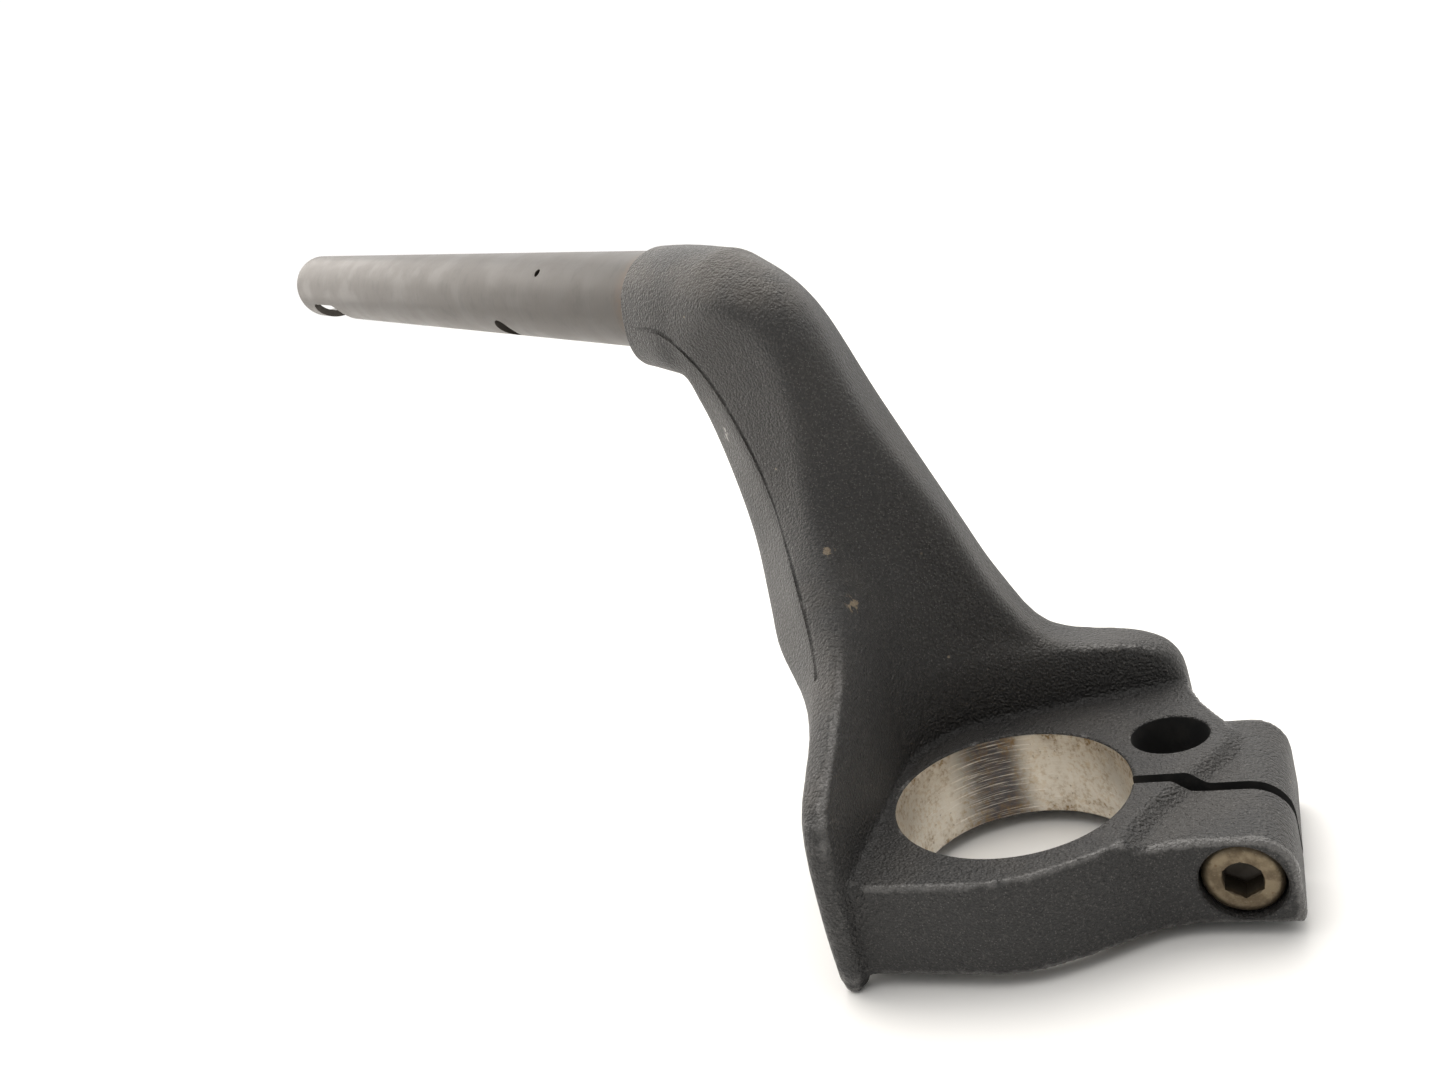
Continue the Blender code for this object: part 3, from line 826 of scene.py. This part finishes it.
# %% Bolt finish
tree, shader, at = finish_for(bolt, "aged_plating")
moved = node(tree, "VectorMath", {0: at, 1: tuple(bolt_face)}, operation="SUBTRACT").outputs[0]
split = node(tree, "SeparateXYZ", {"Vector": moved})
from_axis = node(tree, "VectorMath", {0: node(tree, "CombineXYZ", {
    "X": split.outputs["X"], "Z": split.outputs["Z"],
}).outputs["Vector"]}, operation="LENGTH").outputs["Value"]
dull = use(tree, patches, {"Vector": at, "Scale": 400.0, "Amount": 0.5})["Mask"]
rubbed = use(tree, scratches, {"Vector": at, "Scale": 2500.0})
deep = between(tree, split.outputs["Y"], 0.0003, 0.0015)
inside_hexagon = between(tree, from_axis, 0.0040, 0.0034)
hexagon_darkening = maths(tree, "MULTIPLY", deep, inside_hexagon)
rust = use(tree, specks, {"Vector": at, "Scale": 900.0, "Size": 0.3})["Mask"]
colour = blend(tree, dull, (0.20, 0.160, 0.105), (0.13, 0.10, 0.065))
colour = blend(tree, maths(tree, "MULTIPLY", rubbed["Mask"], 0.5), colour, (0.29, 0.245, 0.175))
colour = blend(tree, maths(tree, "MULTIPLY", rust, 0.6), colour, (0.10, 0.055, 0.03))
# darker inside the hexagon, deeper than 0.3 mm
colour = blend(tree, maths(tree, "MULTIPLY", hexagon_darkening, 0.85), colour, (0.035, 0.028, 0.02))
feed(
    tree, shader, Base_Color=colour,
    Roughness=between(tree, dull, 0, 1, 0.36, 0.52),
    Metallic=between(tree, hexagon_darkening, 0, 1, 0.85, 0.2),
)
relief(tree, shader, rubbed["Height"], 0.00004)
print("bolt steel:", len(tree.nodes), "nodes")

# %% [markdown]
# ## The studio
# The bar lies in soft light on a plain pale table. A big sheet of light above and
# behind gives the coat its rim light, and a weaker one fills from the left. A sun
# with a very wide disc acts as a pale ceiling and keeps the table white. The room
# on the near side stays dark, so the faces that look at it stay black.

# %% Floor
FLOOR_HALF, FLOOR_GAP = 4.0, 0.0002
low_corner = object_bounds()[0]
bm = bmesh.new()
bmesh.ops.create_grid(bm, x_segments=1, y_segments=1, size=FLOOR_HALF)
bmesh.ops.translate(bm, verts=bm.verts, vec=(0, 0, low_corner.z - FLOOR_GAP))
floor = to_piece("floor", bm)
_, shader, _ = finish_for(floor, "pale_floor")
shader.inputs["Base Color"].default_value = (0.86, 0.855, 0.84, 1)
shader.inputs["Roughness"].default_value = 0.6

# %% Lights and sky
def softbox(name, at, towards, size, power, colour):
    """A square area light that faces a point."""
    lamp = bpy.data.lights.new(name, "AREA")
    lamp.size = size
    lamp.energy = power
    lamp.color = colour
    made = bpy.data.objects.new(name, lamp)
    scene.collection.objects.link(made)
    made.location = at
    made.rotation_mode = "QUATERNION"
    made.rotation_quaternion = (Vector(towards) - Vector(at)).to_track_quat("-Z", "Y")


softbox("sky_light", (-0.15, 0.45, 0.95), (-0.08, 0.05, 0.03), 0.9, 6.0, (1.0, 0.955, 0.90))
softbox("left_light", (-1.0, 0.45, 0.40), (-0.05, 0.02, 0.03), 0.7, 4.5, (1.0, 0.93, 0.85))
ceiling = bpy.data.lights.new("ceiling", "SUN")
ceiling.energy = 1.6
ceiling.angle = math.radians(110)
ceiling.color = (1.0, 0.97, 0.93)
overhead = bpy.data.objects.new("ceiling", ceiling)
scene.collection.objects.link(overhead)
overhead.rotation_mode = "QUATERNION"
overhead.rotation_quaternion = Vector((0.2, -0.45, -1.0)).to_track_quat("-Z", "Y")
world = bpy.data.worlds.new("room")
scene.world = world
world.use_nodes = True
sky = world.node_tree
seen = node(sky, "TexCoord").outputs["Generated"]
LIT_SIDE = (-0.42, 0.66, 0.60)
toward = node(sky, "VectorMath", {0: seen, 1: LIT_SIDE}, operation="DOT_PRODUCT").outputs["Value"]
bright = between(sky, toward, -0.62, 0.55, 0.13, 1.0)
background = sky.nodes["Background"]
sky.links.new(blend(sky, bright, (0.0, 0.0, 0.0), (1.0, 0.99, 0.975)), background.inputs["Color"])
background.inputs["Strength"].default_value = 1.05
scene.view_settings.view_transform = "Standard"

# %% [markdown]
# ## The camera
# It looks down at the clamp from the front and a little to the right, rolled so
# that the bar seems to rest on its lower edge.

# %% Camera
lens = bpy.data.cameras.new("camera")
lens.lens = 30.39
lens.clip_start = 0.01
camera = bpy.data.objects.new("camera", lens)
scene.collection.objects.link(camera)
right = Vector((0.88760, 0.36655, -0.27893))
down = Vector((-0.14607, -0.35031, -0.92517))
forward = Vector((-0.43684, 0.86193, -0.25739))
turn = Matrix((right, -down, -forward)).transposed().to_4x4()
camera.matrix_world = Matrix.Translation((0.05741, -0.19601, 0.11419)) @ turn
scene.camera = camera
